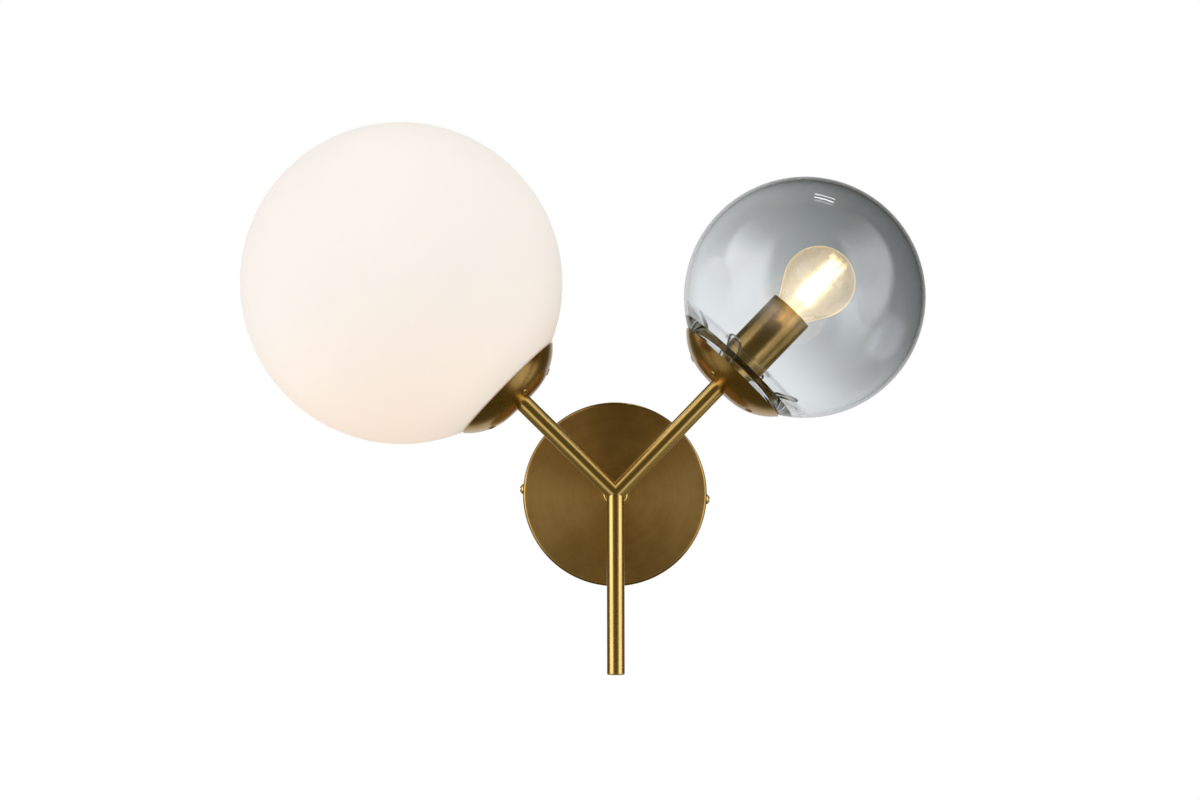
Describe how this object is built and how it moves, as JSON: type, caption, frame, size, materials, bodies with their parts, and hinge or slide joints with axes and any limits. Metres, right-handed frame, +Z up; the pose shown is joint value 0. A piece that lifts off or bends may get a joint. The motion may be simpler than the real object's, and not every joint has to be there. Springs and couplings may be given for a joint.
{
  "type": "wall sconce",
  "caption": "Wall sconce with a round wall plate, a stem, a Y of brass tube and glass globes in spun cups: one large opal, one smaller smoked.",
  "frame": {"origin": "centre of the wall plate, on the wall", "axes": "+Y into the wall, +X to the right as seen from the room, +Z up"},
  "size_m": [0.4257, 0.21, 0.3431],
  "materials": {
    "antique_brass": "brushed, darkened",
    "satin_brass": "satin",
    "zinc_steel": "zinc plated",
    "spring_steel": "bright wire",
    "nickel": "nickel plated",
    "opal_glass": "glossy opal",
    "smoked_glass": "clear smoked",
    "clear_glass": "clear",
    "black_plastic": "moulded",
    "white_plastic": "moulded",
    "clear_rubber": "soft",
    "brown_insulation": "extruded",
    "blue_insulation": "extruded",
    "earth_insulation": "extruded, two colours",
    "filament_coating": "glowing when lit"
  },
  "bodies": {
    "fixture": {"mounting_bracket": "zinc_steel", "bracket_earth_screw": "zinc_steel", "terminal_block": "white_plastic", "terminal_sleeves": "satin_brass", "terminal_screws": "zinc_steel", "terminal_block_screw": "zinc_steel", "canopy": "antique_brass", "stem": "satin_brass", "stem_washer": "zinc_steel", "stem_lock_nut": "zinc_steel", "stem_bushing": "white_plastic", "left_arm": "satin_brass", "right_arm": "satin_brass", "drop_tube": "satin_brass", "drop_tube_plug": "satin_brass", "earth_lead": "earth_insulation", "left_nipple": "zinc_steel", "left_cup": "antique_brass", "left_cup_washer": "zinc_steel", "left_cup_nut": "zinc_steel", "left_clip_rivets": "satin_brass", "left_globe_clips": "spring_steel", "left_globe_gasket": "clear_rubber", "left_holder_cover": "satin_brass", "left_holder_base": "black_plastic", "left_holder_body": "black_plastic", "left_holder_shell": "satin_brass", "left_holder_contact": "satin_brass", "left_live_lead": "brown_insulation", "left_neutral_lead": "blue_insulation", "right_nipple": "zinc_steel", "right_cup": "antique_brass", "right_cup_washer": "zinc_steel", "right_cup_nut": "zinc_steel", "right_clip_rivets": "satin_brass", "right_globe_clips": "spring_steel", "right_globe_gasket": "clear_rubber", "right_holder_cover": "satin_brass", "right_holder_base": "black_plastic", "right_holder_body": "black_plastic", "right_holder_shell": "satin_brass", "right_holder_contact": "satin_brass", "right_live_lead": "brown_insulation", "right_neutral_lead": "blue_insulation"},
    "side_screw_left": {"side_screw_left": "antique_brass"},
    "side_screw_right": {"side_screw_right": "antique_brass"},
    "opal_globe": {"opal_globe": "opal_glass"},
    "smoked_globe": {"smoked_globe": "smoked_glass"},
    "left_bulb_travel": {"left_bulb_end_contact": "nickel"},
    "left_bulb": {"left_bulb_cap": "nickel", "left_bulb_glass": "clear_glass", "left_bulb_stem": "clear_glass", "left_filament_frame": "spring_steel", "left_filaments": "filament_coating"},
    "right_bulb_travel": {"right_bulb_end_contact": "nickel"},
    "right_bulb": {"right_bulb_cap": "nickel", "right_bulb_glass": "clear_glass", "right_bulb_stem": "clear_glass", "right_filament_frame": "spring_steel", "right_filaments": "filament_coating"}
  },
  "joints": [
    {"name": "opal_globe_slide", "type": "slide", "parent": "fixture", "child": "opal_globe", "axis": [-0.712, 0, 0.7022], "range_m": [0, 0.11], "deforming": ["left_globe_clips"]},
    {"name": "smoked_globe_slide", "type": "slide", "parent": "fixture", "child": "smoked_globe", "axis": [0.6959, 0, 0.7181], "range_m": [0, 0.11], "deforming": ["right_globe_clips"]},
    {"name": "left_bulb_travel", "type": "slide", "parent": "fixture", "child": "left_bulb_travel", "axis": [-0.712, 0, 0.7022], "range_m": [0, 0.0142]},
    {"name": "left_bulb_turn", "type": "hinge", "parent": "left_bulb_travel", "child": "left_bulb", "pos_m": [-0.06672, -0.11, 0.06579], "axis": [-0.712, 0, 0.7022], "range_deg": [0, 1800]},
    {"name": "right_bulb_travel", "type": "slide", "parent": "fixture", "child": "right_bulb_travel", "axis": [0.6959, 0, 0.7181], "range_m": [0, 0.0142]},
    {"name": "right_bulb_turn", "type": "hinge", "parent": "right_bulb_travel", "child": "right_bulb", "pos_m": [0.07272, -0.11, 0.07504], "axis": [0.6959, 0, 0.7181], "range_deg": [0, 1800]},
    {"name": "side_screw_left_slide", "type": "slide", "parent": "fixture", "child": "side_screw_left", "axis": [-0.9983, 0, 0.0584], "range_m": [0, 0.008]},
    {"name": "side_screw_right_slide", "type": "slide", "parent": "fixture", "child": "side_screw_right", "axis": [0.9983, 0, -0.0584], "range_m": [0, 0.008]}
  ],
  "couplings": [
    {"joint": "left_bulb_travel", "follows": "left_bulb_turn", "m_per_rad": 0.00044882},
    {"joint": "right_bulb_travel", "follows": "right_bulb_turn", "m_per_rad": 0.00044882}
  ]
}
